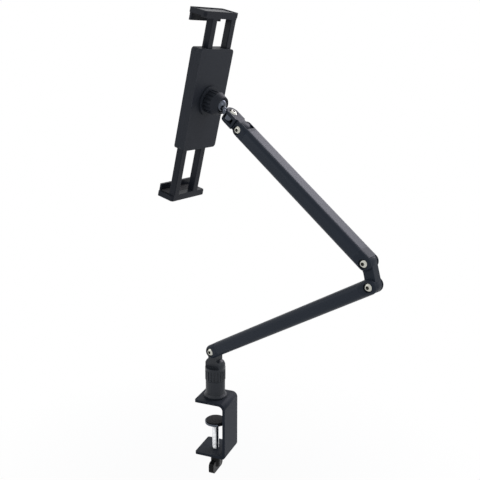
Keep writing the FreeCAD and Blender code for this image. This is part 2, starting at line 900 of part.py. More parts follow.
# Neck: it turns on the upper arm's end bolt, and its two cheeks hold the ball stud's tongue
def neck_block(place):
    half = "tongue_thick / 2"
    knuckle = round_bar("neck_knuckle", "y", ("-" + half, half), "tongue_radius")
    throat_bar = box("neck_bar", ("-neck_pivot_reach", "0"), ("-" + half, half), ("-neck_half", "neck_half"))
    block = box(
        "neck_wide",
        ("-neck_pivot_reach", "-neck_wide_from"),
        ("-cheek_radius", "cheek_radius"),
        ("-neck_half", "neck_half"),
    )
    pivot = ("-neck_pivot_reach", "0")
    cheek = round_bar("neck_cheek", "z", ("-neck_half", "neck_half"), "cheek_radius", pivot)
    slot = box(
        "neck_slot",
        ("-neck_pivot_reach - 2 * cheek_radius", "-neck_pivot_reach + cheek_radius + cheek_floor_gap"),
        ("-2 * cheek_radius", "2 * cheek_radius"),
        ("-cheek_gap / 2", "cheek_gap / 2"),
    )
    end_hole = round_bar("neck_end_hole", "y", ("-arm_thick", "arm_thick"), "bolt_radius + turn_gap")
    pivot_hole = round_bar("neck_pivot_hole", "z", ("-arm_thick", "arm_thick"), "bolt_radius + turn_gap", pivot)
    head_seat = round_bar(
        "neck_head_seat",
        "z",
        ("neck_half - neck_seat_deep", "neck_half + overcut"),
        "neck_head_radius + slide_gap",
        pivot,
    )
    nut_seat = hexagon(
        "neck_nut_seat", "z", ("-neck_half - overcut", "-neck_half + nut_tall"), "nut_radius + turn_gap", pivot
    )
    blank = join("neck_blank", [knuckle, throat_bar, block, cheek])
    tools = [slot, end_hole, pivot_hole, head_seat, nut_seat]
    return sub_part("neck_block", cut("neck_block", blank, tools), place)


def neck_bolt(place):
    pivot = ("-neck_pivot_reach", "0")
    seat = "neck_half - neck_seat_deep"
    head = round_bar("neck_bolt_head", "z", (seat, "neck_half + neck_head_rise"), "neck_head_radius", pivot)
    shank = round_bar("neck_bolt_shank", "z", ("-neck_half + bolt_end_inset", seat), "bolt_radius", pivot)
    socket = hexagon(
        "neck_bolt_socket",
        "z",
        ("neck_half + neck_head_rise - hex_deep", "neck_half + 2 * neck_head_rise"),
        "hex_radius",
        pivot,
    )
    return sub_part("neck_bolt", cut("neck_bolt", join("neck_bolt_blank", [head, shank]), [socket]), place)


def neck_nut(place):
    pivot = ("-neck_pivot_reach", "0")
    prism = hexagon("neck_nut_prism", "z", ("-neck_half", "-neck_half + nut_tall"), "nut_radius", pivot)
    bore = round_bar(
        "neck_nut_bore",
        "z",
        ("-neck_half - overcut", "-neck_half + nut_tall + overcut"),
        "bolt_radius + press_gap",
        pivot,
    )
    return sub_part("neck_nut", cut("neck_nut", prism, [bore]), place)


def ball_stud(place):
    pivot = ("-neck_pivot_reach", "0")
    half = "stud_tongue_thick / 2"
    eye = round_bar("stud_eye", "z", ("-" + half, half), "stud_tongue_radius", pivot)
    shoulder_start = "-neck_pivot_reach - cheek_radius - slide_gap"
    tongue = box(
        "stud_tongue",
        (shoulder_start + " - shoulder_long / 2", "-neck_pivot_reach"),
        ("-shoulder_radius", "shoulder_radius"),
        ("-" + half, half),
    )
    shoulder = round_bar(
        "stud_shoulder", "x", (shoulder_start + " - shoulder_long", shoulder_start), "shoulder_radius"
    )
    shaft = round_bar("stud_shaft", "x", ("-ball_reach", shoulder_start), "shaft_radius")
    knob = ball("stud_ball", "ball_radius")
    bind(knob, "Placement.Base.x", "-ball_reach")
    hole = round_bar("stud_hole", "z", ("-arm_thick", "arm_thick"), "bolt_radius + turn_gap", pivot)
    blank = join("stud_blank", [eye, tongue, shoulder, shaft, knob])
    return sub_part("ball_stud", cut("ball_stud", blank, [hole]), place)


# Ball socket, around the ball's centre, with X along the holder's back normal
CAVITY = "ball_radius + turn_gap + liner_thick + turn_gap"


def ball_liner(place):
    outer = ball("liner_outer", "ball_radius + turn_gap + liner_thick")
    inner = ball("liner_inner", "ball_radius + turn_gap")
    side = round_bar("liner_side", "x", ("-2 * ball_radius", "-liner_edge"), "2 * ball_radius")
    cup = common("liner_cup", outer, side)
    return sub_part("ball_liner", cut("ball_liner", cup, [inner]), place)


def ball_socket(place):
    flange = round_bar(
        "socket_flange", "x", ("-ball_standoff", "-ball_standoff + socket_flange_thick"), "socket_flange_radius"
    )
    tube = round_bar("socket_tube", "x", ("-ball_standoff", "-socket_rim"), "socket_radius")
    cavity = ball("socket_cavity", CAVITY)
    tappings = [
        round_bar(
            "socket_tapping",
            "x",
            ("-ball_standoff - overcut", "-ball_standoff + socket_screw_reach + turn_gap"),
            "socket_screw_radius + turn_gap",
            ("0", sign + "socket_screw_offset"),
        )
        for sign in ("", "-")
    ]
    blank = join("socket_blank", [flange, tube])
    return sub_part("ball_socket", cut("ball_socket", blank, [cavity] + tappings), place)


def lock_nut(place):
    skirt = round_bar("nut_skirt", "x", ("-nut_skirt", "-nut_body_from"), "nut_outer_radius")
    nose = round_bar(
        "nut_nose", "x", ("-nut_body_from", "nose_reach"), "nut_outer_radius", end_radius="nose_radius"
    )
    bore = round_bar(
        "nut_inside", "x", ("-nut_skirt - overcut", "-socket_rim + slide_gap"), "socket_radius + turn_gap"
    )
    cup_side = round_bar("nut_cup_side", "x", ("-ball_radius", "cavity_step"), "2 * ball_radius")
    cup = common("nut_cup", ball("nut_cup_ball", CAVITY), cup_side)
    lip = ball("nut_lip", "ball_radius + 2 * turn_gap")
    mouth_radius = "sqrt((ball_radius + 2 * turn_gap) ^ 2 - lip_reach ^ 2)"
    mouth_end = "nose_reach + overcut"
    mouth = round_bar(
        "nut_mouth",
        "x",
        ("lip_reach", mouth_end),
        mouth_radius,
        end_radius=f"{mouth_radius} + {mouth_end} - lip_reach",
    )

    def flute():
        return round_bar(
            "nut_flute", "x", ("-nut_skirt - overcut", "-nut_body_from"), "flute_radius", ("flute_circle", "0")
        )

    flutes = around(flute, size.flute_count, X)
    blank = join("nut_blank", [skirt, nose])
    return sub_part("lock_nut", cut("lock_nut", blank, [bore, cup, lip, mouth] + flutes), place)


# Holder housing: two shells round the jaws' rails. X = back normal, Y = across, Z = up, from the ball's centre
BACK = "-ball_standoff"
FRONT = "-ball_standoff - housing_deep"
SPLIT = "-ball_standoff - shell_split"
RAIL_BACK = "-ball_standoff - housing_wall - slide_gap"
RAIL_FRONT = "-ball_standoff - housing_deep + housing_wall + slide_gap"
RAIL_CENTRES = ("rail_outer", "-rail_inner")


def shell(label, span, inner_span, place, screw_holes):
    """One half of the housing, with its ribs, bosses and the windows that the rails run through."""
    slab = rounded_slab(
        label + "_slab",
        span,
        ("-housing_half_width", "housing_half_width"),
        ("-housing_half_tall", "housing_half_tall"),
        "housing_corner",
        upright="x",
    )
    side = "rail_outer + rail_wide / 2 + slide_gap"
    end = "housing_half_tall - housing_end_wall"
    hollow = box(label + "_hollow", inner_span, (f"-({side})", side), (f"-({end})", end))
    windows = []
    for facing in (1, -1):
        for centre in RAIL_CENTRES:
            middle = centre if facing > 0 else f"-({centre})"
            half = "rail_wide / 2 + slide_gap"
            up = (
                (end + " - overcut", "housing_half_tall + overcut")
                if facing > 0
                else ("-housing_half_tall - overcut", f"-({end}) + overcut")
            )
            windows.append(
                box(label + "_window", inner_span, (f"{middle} - ({half})", f"{middle} + {half}"), up)
            )
    rib_half = "(rail_outer - rail_inner - rail_wide) / 2 - slide_gap"
    rib_middle = "(rail_outer + rail_inner) / 2"
    ribs = [
        box(
            label + "_rib",
            inner_span,
            (f"{sign}({rib_middle}) - ({rib_half})", f"{sign}({rib_middle}) + {rib_half}"),
            (f"-({end})", end),
        )
        for sign in ("", "-")
    ]
    bosses = [
        round_bar(label + "_boss", "x", inner_span, "boss_radius", ("0", sign + "boss_height"))
        for sign in ("", "-")
    ]
    hollowed = cut(label + "_open", slab, [hollow] + windows)
    built = join(label + "_built", [hollowed] + ribs + bosses)
    return sub_part(label, cut(label + "_drilled", built, screw_holes), place)


def pair(name, span, radius, offset):
    """Two round tools along X, above and below the ball's centre."""
    return [round_bar(name, "x", span, radius, ("0", sign + offset)) for sign in ("", "-")]


def housing_rear(place):
    inner_face = BACK + " - housing_wall"
    tappings = pair(
        "rear_tapping", (SPLIT + " - overcut", inner_face), "housing_screw_radius + press_gap", "boss_height"
    )
    socket_holes = pair(
        "rear_socket_hole",
        (inner_face + " - overcut", BACK + " + overcut"),
        "socket_screw_radius + turn_gap",
        "socket_screw_offset",
    )
    return shell("housing_rear", (SPLIT, BACK), (SPLIT, inner_face), place, tappings + socket_holes)


def housing_front(place):
    holes = pair(
        "front_screw_hole",
        (FRONT + " - overcut", SPLIT + " + overcut"),
        "housing_screw_radius + turn_gap",
        "boss_height",
    )
    seats = pair(
        "front_screw_seat",
        (FRONT + " - overcut", FRONT + " + small_head_tall"),
        "small_head_radius + slide_gap",
        "boss_height",
    )
    return shell("housing_front", (FRONT, SPLIT), (FRONT + " + housing_wall", SPLIT), place, holes + seats)


def small_screws(label, head_span, shank_span, radius, offset, place):
    """A pair of round headed screws along X, above and below the ball's centre."""
    heads = pair(label + "_head", head_span, "small_head_radius", offset)
    shanks = pair(label + "_shank", shank_span, radius, offset)
    screws = [join(label + "_screw", [head, shank]) for head, shank in zip(heads, shanks)]
    return sub_part(label, together(label, screws), place)


def housing_screws(place):
    head = (FRONT, FRONT + " + small_head_tall")
    shank = (FRONT + " + small_head_tall", BACK + " - housing_wall - slide_gap")
    return small_screws("housing_screws", head, shank, "housing_screw_radius", "boss_height", place)


def socket_screws(place):
    inner_face = BACK + " - housing_wall"
    head = (inner_face + " - small_head_tall", inner_face)
    shank = (inner_face, BACK + " + socket_screw_reach")
    return small_screws("socket_screws", head, shank, "socket_screw_radius", "socket_screw_offset", place)


def front_pad(place):
    half_wide = "housing_half_width - front_pad_margin"
    half_tall = "housing_half_tall - front_pad_margin"
    slab = rounded_slab(
        "front_pad",
        (FRONT + " - front_pad_thick", FRONT),
        (f"-({half_wide})", half_wide),
        (f"-({half_tall})", half_tall),
        "front_pad_round",
        upright="x",
    )
    return sub_part("front_pad", slab, place)


# Jaws: one moulding each, measured outwards (+Z) from the plane that grips the tablet's edge
JAW_FRONT = RAIL_BACK + " - jaw_deep"


def jaw(label, place):
    top = "jaw_pad_thick + jaw_thick"
    plate = rounded_slab(
        label + "_plate",
        (JAW_FRONT, RAIL_BACK),
        ("-jaw_half_width", "jaw_half_width"),
        ("jaw_pad_thick", top),
        "jaw_round",
    )
    dish = box(
        label + "_dish",
        (JAW_FRONT + " + jaw_rim", RAIL_BACK + " - jaw_rim"),
        ("-jaw_half_width + jaw_rim", "jaw_half_width - jaw_rim"),
        (top + " - jaw_dish", top + " + overcut"),
    )
    lip = box(
        label + "_lip",
        (JAW_FRONT, JAW_FRONT + " + lip_thick"),
        ("-jaw_half_width + jaw_round", "jaw_half_width - jaw_round"),
        ("jaw_pad_thick - lip_tall", "jaw_pad_thick + root"),
    )
    bar = box(
        label + "_bar",
        (RAIL_FRONT, RAIL_BACK),
        ("-jaw_half_width + jaw_round", "jaw_half_width - jaw_round"),
        ("-jaw_bar_drop + jaw_pad_thick", "jaw_pad_thick + root"),
    )
    rails = [
        rounded_slab(
            label + "_rail",
            (RAIL_FRONT, RAIL_BACK),
            (f"{centre} - rail_wide / 2", f"{centre} + rail_wide / 2"),
            ("-rail_long", "jaw_pad_thick + root"),
            "rail_round",
        )
        for centre in RAIL_CENTRES
    ]
    blank = join(label + "_blank", [plate, lip, bar] + rails)
    return sub_part(label, cut(label, blank, [dish]), place)


def jaw_pad(label, place):
    slab = rounded_slab(
        label,
        (JAW_FRONT + " + lip_thick + slide_gap", RAIL_FRONT + " - slide_gap"),
        ("-jaw_half_width + jaw_round", "jaw_half_width - jaw_round"),
        ("0", "jaw_pad_thick"),
        "jaw_round / 2",
    )
    return sub_part(label, slab, place)


def jaw_spring(label, grip, place):
    """The spring that pulls a jaw in, between its inner rail's end and the housing's far end wall."""
    span = (
        "-housing_half_tall + housing_end_wall + slide_gap",
        f"{grip} - rail_long - slide_gap",
    )
    middle = f"(({RAIL_FRONT}) + ({RAIL_BACK})) / 2"
    coil = round_bar(label + "_coil", "z", span, "spring_radius", (middle, "-rail_inner"))
    bore = round_bar(
        label + "_bore",
        "z",
        (span[0] + " - overcut", span[1] + " + overcut"),
        "spring_radius - spring_wall",
        (middle, "-rail_inner"),
    )
    return sub_part(label, cut(label, coil, [bore]), place)


# Frames that carry the pieces, from the origin outwards
swing = Placement(Vector(), Rotation(Z, size.arm_yaw_angle))
shoulder_hinge = swing * Placement(Vector(0, 0, size.hinge_height), Rotation(Y, -size.lower_rise_angle))
lower_end = Placement(Vector(size.lower_length, 0, 0), Rotation())
half_turn = Placement(Vector(), Rotation(Y, 180))
elbow_hinge = shoulder_hinge * lower_end
link_turn = Placement(Vector(), Rotation(Y, size.lower_rise_angle - size.link_rise_angle))
link_frame = elbow_hinge * link_turn
upper_turn = Rotation(Y, size.link_rise_angle + size.upper_fall_angle)
upper_elbow = link_frame * Placement(Vector(size.link_length, 0, 0), upper_turn)
wrist_hinge = upper_elbow * Placement(Vector(-size.upper_length, 0, 0), Rotation())
ball_centre = wrist_hinge.multVec(Vector(-size.ball_reach, 0, 0))
holder_yaw = Rotation(Z, size.arm_yaw_angle + size.holder_turn_angle)
holder = Placement(ball_centre, holder_yaw * Rotation(Y, size.holder_tilt_angle))
upper_jaw_frame = holder * Placement(Vector(0, 0, size.upper_grip), Rotation())
jaw_flip = Placement(Vector(), Rotation(X, 180))
lower_jaw_frame = holder * Placement(Vector(0, 0, -size.lower_grip), Rotation()) * jaw_flip


def build():
    clamp_frame()
    table_pad()
    base_screws()
    pressure_disc()
    disc_pad()
    clamp_screw()
    wing_knob()
    swivel_base()
    swivel_bush()
    swivel_washer()
    swivel_collar()
    swivel_head()
    spindle_screw()
    spindle_washer()
    arm_tube("lower_arm_tube", "lower_length", shoulder_hinge)
    arm_fitting("lower_arm_foot", shoulder_hinge)
    arm_fitting("lower_arm_knuckle", elbow_hinge * half_turn)
    arm_hardware("lower_arm", [shoulder_hinge, elbow_hinge])
    elbow_link(link_frame)
    arm_tube("upper_arm_tube", "upper_length", wrist_hinge)
    arm_fitting("upper_arm_knuckle", upper_elbow * half_turn, swings="up")
    arm_fitting("upper_arm_wrist", wrist_hinge)
    arm_hardware("upper_arm", [upper_elbow, wrist_hinge])
    neck_block(wrist_hinge)
    neck_bolt(wrist_hinge)
    neck_nut(wrist_hinge)
    ball_stud(wrist_hinge)
    ball_liner(holder)
    lock_nut(holder)
    ball_socket(holder)
    socket_screws(holder)
    housing_rear(holder)
    housing_front(holder)
    housing_screws(holder)
    front_pad(holder)
    jaw("upper_jaw", upper_jaw_frame)
    jaw_pad("upper_jaw_pad", upper_jaw_frame)
    jaw("lower_jaw", lower_jaw_frame)
    jaw_pad("lower_jaw_pad", lower_jaw_frame)
    jaw_spring("upper_jaw_spring", "upper_grip", holder)
    jaw_spring("lower_jaw_spring", "lower_grip", holder * jaw_flip)


def check():
    """Stops on any object that failed and on any sub-part that is empty or not valid."""
    for item in doc.Objects:
        if {"Invalid", "Error"} & set(item.State):
            raise RuntimeError(f"{item.Name} failed: {item.State}")
    for label, item in PARTS.items():
        if item.Shape.isNull() or not item.Shape.isValid() or not item.Shape.Solids:
            raise RuntimeError(f"{label} has no valid shape")


def write():
    os.makedirs("parts", exist_ok=True)
    for label, item in PARTS.items():
        item.Shape.exportStep(f"parts/{label}.step")
        volume = item.Shape.Volume
        print(f"{label}: {len(item.Shape.Solids)} solid(s), {volume:.0f} mm3")


build()
doc.recompute()
check()
write()
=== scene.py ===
# %% [markdown]
# # A dual arm desktop tablet stand
# The stand's shapes come from a imported CAD model that is already in place, in metres, with +Z up. This lesson
# gives those shapes their finishes, adds the pieces that read better as mesh than as CAD solids, and lights them
# over a pale floor. We load the model first and keep its box.

# %% Load the imported model
import json
import math

import bpy
from mathutils import Matrix, Vector


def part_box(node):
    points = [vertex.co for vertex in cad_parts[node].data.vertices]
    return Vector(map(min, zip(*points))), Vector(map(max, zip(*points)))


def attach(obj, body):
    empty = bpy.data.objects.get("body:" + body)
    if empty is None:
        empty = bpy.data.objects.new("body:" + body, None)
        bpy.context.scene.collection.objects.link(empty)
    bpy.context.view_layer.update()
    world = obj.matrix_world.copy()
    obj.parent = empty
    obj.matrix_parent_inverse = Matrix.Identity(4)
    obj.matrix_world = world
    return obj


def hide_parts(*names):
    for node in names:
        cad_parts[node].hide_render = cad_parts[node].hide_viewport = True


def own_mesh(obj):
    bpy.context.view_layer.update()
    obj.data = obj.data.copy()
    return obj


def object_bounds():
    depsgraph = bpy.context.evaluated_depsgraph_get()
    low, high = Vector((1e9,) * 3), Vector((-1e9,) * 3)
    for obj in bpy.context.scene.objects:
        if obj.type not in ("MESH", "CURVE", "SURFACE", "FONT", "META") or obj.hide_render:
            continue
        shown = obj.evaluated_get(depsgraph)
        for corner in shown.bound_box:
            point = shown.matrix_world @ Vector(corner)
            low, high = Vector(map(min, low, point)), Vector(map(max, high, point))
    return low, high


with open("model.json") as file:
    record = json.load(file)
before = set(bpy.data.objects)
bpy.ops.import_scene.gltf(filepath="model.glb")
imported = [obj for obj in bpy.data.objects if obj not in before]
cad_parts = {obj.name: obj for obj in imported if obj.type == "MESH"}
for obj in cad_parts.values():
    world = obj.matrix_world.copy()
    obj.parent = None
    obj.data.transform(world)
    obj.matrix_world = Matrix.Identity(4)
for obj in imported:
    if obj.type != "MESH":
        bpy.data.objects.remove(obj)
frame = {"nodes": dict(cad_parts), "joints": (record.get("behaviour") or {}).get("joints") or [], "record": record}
cad_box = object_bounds()
nodes = frame["nodes"]
joints = {joint["name"]: joint for joint in frame["joints"]}
print("nodes:", len(nodes), "joints:", len(joints))

# %% [markdown]
# ## The camera
# A camera is a place and three directions: to the right of the picture, up the picture, and back from it. A
# rotation matrix holds those three as its columns, so the directions can be written down as they were
# measured and no angle has to be worked out. The lens goes with a sensor 36 mm wide and a square picture.

# %% Camera
CAMERA_PLACE = Vector((0.36380, -0.82395, 0.44823))
PICTURE_RIGHT = (0.927938, 0.372710, 0.004241)
PICTURE_UP = (-0.096666, 0.229652, 0.968461)
PICTURE_BACK = (0.359981, -0.899082, 0.249131)
SENSOR_MM = 36.0
LENS_MM = 55.865
NEAREST = 0.02
FARTHEST = 30.0

camera_data = bpy.data.cameras.new("camera")
camera_data.sensor_width = SENSOR_MM
camera_data.lens = LENS_MM
camera_data.clip_start = NEAREST
camera_data.clip_end = FARTHEST
camera = bpy.data.objects.new("camera", camera_data)
turned = Matrix((PICTURE_RIGHT, PICTURE_UP, PICTURE_BACK)).transposed()
camera.matrix_world = Matrix.Translation(CAMERA_PLACE) @ turned.to_4x4()
bpy.context.scene.collection.objects.link(camera)
bpy.context.scene.camera = camera
print("camera", tuple(round(value, 3) for value in CAMERA_PLACE))

# %% [markdown]
# ## The studio
# A product picture on white needs a bright surround and few hard shadows. The world is plain white where the
# camera or a mirror sees it, and a dimmer grey where it lights the stand, so the background stays white
# without washing out the dark finishes. The Light Path node tells the two apart.

# %% World
SURROUND_TINT = (0.82, 0.89, 1.0, 1.0)
SURROUND_LIGHT = 0.38
WHITE = (1.0, 1.0, 1.0, 1.0)


def seen_directly(tree):
    """A factor that is 1 where the camera, a reflection or a clear piece sees the surface."""
    path = tree.nodes.new("ShaderNodeLightPath")
    first = tree.nodes.new("ShaderNodeMath")
    first.operation = "MAXIMUM"
    tree.links.new(path.outputs["Is Camera Ray"], first.inputs[0])
    tree.links.new(path.outputs["Is Glossy Ray"], first.inputs[1])
    second = tree.nodes.new("ShaderNodeMath")
    second.operation = "MAXIMUM"
    tree.links.new(first.outputs[0], second.inputs[0])
    tree.links.new(path.outputs["Is Transmission Ray"], second.inputs[1])
    return second.outputs[0]


world = bpy.data.worlds.new("studio")
bpy.context.scene.world = world
world.use_nodes = True
world_tree = world.node_tree
world_tree.nodes.clear()
lighting = world_tree.nodes.new("ShaderNodeBackground")
lighting.inputs["Color"].default_value = SURROUND_TINT
lighting.inputs["Strength"].default_value = SURROUND_LIGHT
backdrop = world_tree.nodes.new("ShaderNodeBackground")
backdrop.inputs["Color"].default_value = WHITE
backdrop.inputs["Strength"].default_value = 1.0
world_mix = world_tree.nodes.new("ShaderNodeMixShader")
world_out = world_tree.nodes.new("ShaderNodeOutputWorld")
world_tree.links.new(seen_directly(world_tree), world_mix.inputs[0])
world_tree.links.new(lighting.outputs[0], world_mix.inputs[1])
world_tree.links.new(backdrop.outputs[0], world_mix.inputs[2])
world_tree.links.new(world_mix.outputs[0], world_out.inputs[0])
print("world light", SURROUND_LIGHT)

# %% [markdown]
# Area lamps are soft because they are large. One is behind the stand and above it, where the upper arm's top
# mirrors it. One is at the left front and one at the right. Each row of the table gives a lamp's place, its
# target, its width, its power and its tint.

# %% Lamps
LAMPS = {
    "over": ((0.52, 1.12, 1.16), (0.05, 0.0, 0.38), 1.0, 13.0, (0.96, 0.91, 1.0)),
    "left": ((-0.95, -0.85, 0.75), (0.0, 0.0, 0.25), 0.9, 2.6, (1.0, 1.0, 1.0)),
    "right": ((1.25, -0.25, 0.60), (0.05, 0.0, 0.2), 0.7, 2.0, (0.95, 0.98, 1.0)),
}


def area_lamp(name, place, target, width, power, tint):
    data = bpy.data.lights.new(name, "AREA")
    data.shape = "SQUARE"
    data.size = width
    data.energy = power
    data.color = tint
    lamp = bpy.data.objects.new(name, data)
    aim = (Vector(target) - Vector(place)).to_track_quat("-Z", "Y")
    lamp.matrix_world = Matrix.Translation(place) @ aim.to_matrix().to_4x4()
    bpy.context.scene.collection.objects.link(lamp)


for lamp_name, setting in LAMPS.items():
    area_lamp("lamp_" + lamp_name, *setting)
print("lamps:", len(LAMPS))

# %% [markdown]
# The floor is one large plane under the lowest point that the clamp screw reaches. Seen directly it is
# mostly a white glow, which keeps the background white, with enough white paint mixed in to hold the stand's
# soft shadow. The paint fades out with distance, so the floor has no far edge in the picture.

# %% Floor
FLOOR_HALF = 4.0
FLOOR_GAP = 0.0005
FLOOR_TONE = (0.82, 0.82, 0.82, 1.0)
SCREW_DROP = 0.031
SHADOW_SHARE = 0.06
SHADOW_NEAR = 0.16
SHADOW_FAR = 0.42
floor_z = cad_box[0].z - SCREW_DROP - FLOOR_GAP
floor_mesh = bpy.data.meshes.new("floor")
corners = [(x * FLOOR_HALF, y * FLOOR_HALF, floor_z) for x, y in ((-1, -1), (1, -1), (1, 1), (-1, 1))]
floor_mesh.from_pydata(corners, [], [(0, 1, 2, 3)])
floor = bpy.data.objects.new("floor", floor_mesh)
bpy.context.scene.collection.objects.link(floor)
floor_paint = bpy.data.materials.new("floor_paint")
floor_paint.use_nodes = True
floor_tree = floor_paint.node_tree
floor_tree.nodes.clear()
paint = floor_tree.nodes.new("ShaderNodeBsdfDiffuse")
paint.inputs["Color"].default_value = FLOOR_TONE
glow = floor_tree.nodes.new("ShaderNodeEmission")
glow.inputs["Color"].default_value = WHITE
ground = floor_tree.nodes.new("ShaderNodeNewGeometry")
distance = floor_tree.nodes.new("ShaderNodeVectorMath")
distance.operation = "LENGTH"
fade = floor_tree.nodes.new("ShaderNodeMapRange")
fade.inputs["From Min"].default_value = SHADOW_NEAR
fade.inputs["From Max"].default_value = SHADOW_FAR
fade.inputs["To Min"].default_value = 1.0 - SHADOW_SHARE
fade.inputs["To Max"].default_value = 1.0
share = floor_tree.nodes.new("ShaderNodeMath")
share.operation = "MULTIPLY"
floor_mix = floor_tree.nodes.new("ShaderNodeMixShader")
floor_out = floor_tree.nodes.new("ShaderNodeOutputMaterial")
floor_tree.links.new(ground.outputs["Position"], distance.inputs[0])
floor_tree.links.new(distance.outputs["Value"], fade.inputs["Value"])
floor_tree.links.new(seen_directly(floor_tree), share.inputs[0])
floor_tree.links.new(fade.outputs["Result"], share.inputs[1])
floor_tree.links.new(share.outputs[0], floor_mix.inputs[0])
floor_tree.links.new(paint.outputs[0], floor_mix.inputs[1])
floor_tree.links.new(glow.outputs[0], floor_mix.inputs[2])
floor_tree.links.new(floor_mix.outputs[0], floor_out.inputs[0])
floor_mesh.materials.append(floor_paint)
print("floor at", round(floor_z, 4))

# %% [markdown]
# ## Shared effects
# Paint, plastic and metal all have a fine texture that breaks up their highlights. Each effect is built once
# as a node group with named sockets, and every finish then sets its own scale and strength. A group gives
# back only heights and masks, and the shader itself stays in the material.

# %% Node group helpers
NOISE_LOW = 0.3
NOISE_HIGH = 0.7


def new_group(name, inputs, outputs):
    """An empty shader group with float or vector sockets, and its two end nodes."""
    group = bpy.data.node_groups.new(name, "ShaderNodeTree")
    for socket, kind, value in inputs:
        made = group.interface.new_socket(name=socket, in_out="INPUT", socket_type=kind)
        made.default_value = value
    for socket, kind in outputs:
        group.interface.new_socket(name=socket, in_out="OUTPUT", socket_type=kind)
    start = group.nodes.new("NodeGroupInput")
    end = group.nodes.new("NodeGroupOutput")
    return group, start, end


def object_place(tree):
    """A point's place in its object's own space."""
    return tree.nodes.new("ShaderNodeTexCoord").outputs["Object"]


def noise(tree, vector, scale, detail, roughness):
    """A noise texture whose place and scale are sockets."""
    node = tree.nodes.new("ShaderNodeTexNoise")
    node.inputs["Detail"].default_value = detail
    node.inputs["Roughness"].default_value = roughness
    tree.links.new(vector, node.inputs["Vector"])
    tree.links.new(scale, node.inputs["Scale"])
    return node.outputs[0]


def product(tree, first, second):
    """Two sockets multiplied."""
    node = tree.nodes.new("ShaderNodeMath")
    node.operation = "MULTIPLY"
    tree.links.new(first, node.inputs[0])
    tree.links.new(second, node.inputs[1])
    return node.outputs[0]


def remap(tree, value, low, high, to_low=0.0, to_high=1.0):
    """Stretches one range of a value to another, and clamps it there."""
    node = tree.nodes.new("ShaderNodeMapRange")
    tree.links.new(value, node.inputs["Value"])
    node.inputs["From Min"].default_value = low
    node.inputs["From Max"].default_value = high
    node.inputs["To Min"].default_value = to_low
    node.inputs["To Max"].default_value = to_high
    return node.outputs[0]


print("helpers ready")

# %% [markdown]
# **Coat grain** is the orange peel of powder coat and the fine spark texture of moulded plastic: small round
# bumps, and a slow change of tone over a few centimetres. Noise in object space does both, and needs no
# unwrapping.

# %% Group: coat grain
coat_grain, start, end = new_group(
    "coat_grain",
    [("Scale", "NodeSocketFloat", 900.0), ("Patch Scale", "NodeSocketFloat", 25.0)],
    [("Height", "NodeSocketFloat"), ("Patch", "NodeSocketFloat")],
)
place = object_place(coat_grain)
fine = noise(coat_grain, place, start.outputs["Scale"], detail=2.0, roughness=0.6)
slow = noise(coat_grain, place, start.outputs["Patch Scale"], detail=4.0, roughness=0.6)
coat_grain.links.new(fine, end.inputs["Height"])
coat_grain.links.new(remap(coat_grain, slow, NOISE_LOW, NOISE_HIGH), end.inputs["Patch"])
print("group", coat_grain.name)

# %% [markdown]
# **Drawn lines** are the faint streaks that an extrusion die or a lathe leaves. Stretching the noise along
# one direction gives them. The stretch is a vector, so the same group serves the arms, which are drawn along
# their length, and the round pieces, which are turned.

# %% Group: drawn lines
drawn_lines, start, end = new_group(
    "drawn_lines",
    [
        ("Turn", "NodeSocketVector", (0.0, 0.0, 0.0)),
        ("Stretch", "NodeSocketVector", (1.0, 1.0, 1.0)),
        ("Scale", "NodeSocketFloat", 1500.0),
    ],
    [("Height", "NodeSocketFloat"), ("Streak", "NodeSocketFloat")],
)
turn = drawn_lines.nodes.new("ShaderNodeVectorRotate")
turn.rotation_type = "EULER_XYZ"
turn.invert = True
stretch = drawn_lines.nodes.new("ShaderNodeVectorMath")
stretch.operation = "MULTIPLY"
drawn_lines.links.new(object_place(drawn_lines), turn.inputs["Vector"])
drawn_lines.links.new(start.outputs["Turn"], turn.inputs["Rotation"])
drawn_lines.links.new(turn.outputs[0], stretch.inputs[0])
drawn_lines.links.new(start.outputs["Stretch"], stretch.inputs[1])
lines = noise(drawn_lines, stretch.outputs[0], start.outputs["Scale"], detail=3.0, roughness=0.65)
drawn_lines.links.new(lines, end.inputs["Height"])
drawn_lines.links.new(remap(drawn_lines, lines, NOISE_LOW, NOISE_HIGH), end.inputs["Streak"])
print("group", drawn_lines.name)

# %% [markdown]
# ** Worn and highlit edges** are a touch lighter: partly wear, as hands and cloths polish them, and partly a painted highlight for the light that an edge catches. The Bevel node bends the normal near an edge, so the difference between the bent and the true normal marks the edges. Noise breaks the mark up, as wear is never even.

# %% Group: worn and highlit edges, wear and a painted edge highlight
BEVEL_SAMPLES = 4
EDGE_STARTS = 0.995
EDGE_FULL = 0.85
WEAR_AND_HIGHLIGHT_LOW = 0.35
WEAR_AND_HIGHLIGHT_HIGH = 0.65
WEAR_AND_HIGHLIGHT_LEAST = 0.25
worn_and_highlit_edges, start, end = new_group(
    "worn_and_highlit_edges",
    [("Width", "NodeSocketFloat", 0.0006), ("Patch Scale", "NodeSocketFloat", 140.0)],
    [("Mask", "NodeSocketFloat")],
)
bent = worn_and_highlit_edges.nodes.new("ShaderNodeBevel")
bent.samples = BEVEL_SAMPLES
worn_and_highlit_edges.links.new(start.outputs["Width"], bent.inputs["Radius"])
true_normal = worn_and_highlit_edges.nodes.new("ShaderNodeNewGeometry")
likeness = worn_and_highlit_edges.nodes.new("ShaderNodeVectorMath")
likeness.operation = "DOT_PRODUCT"
worn_and_highlit_edges.links.new(bent.outputs[0], likeness.inputs[0])
worn_and_highlit_edges.links.new(true_normal.outputs["Normal"], likeness.inputs[1])
edge = remap(worn_and_highlit_edges, likeness.outputs["Value"], EDGE_STARTS, EDGE_FULL)
place = object_place(worn_and_highlit_edges)
patches = noise(worn_and_highlit_edges, place, start.outputs["Patch Scale"], detail=4.0, roughness=0.6)
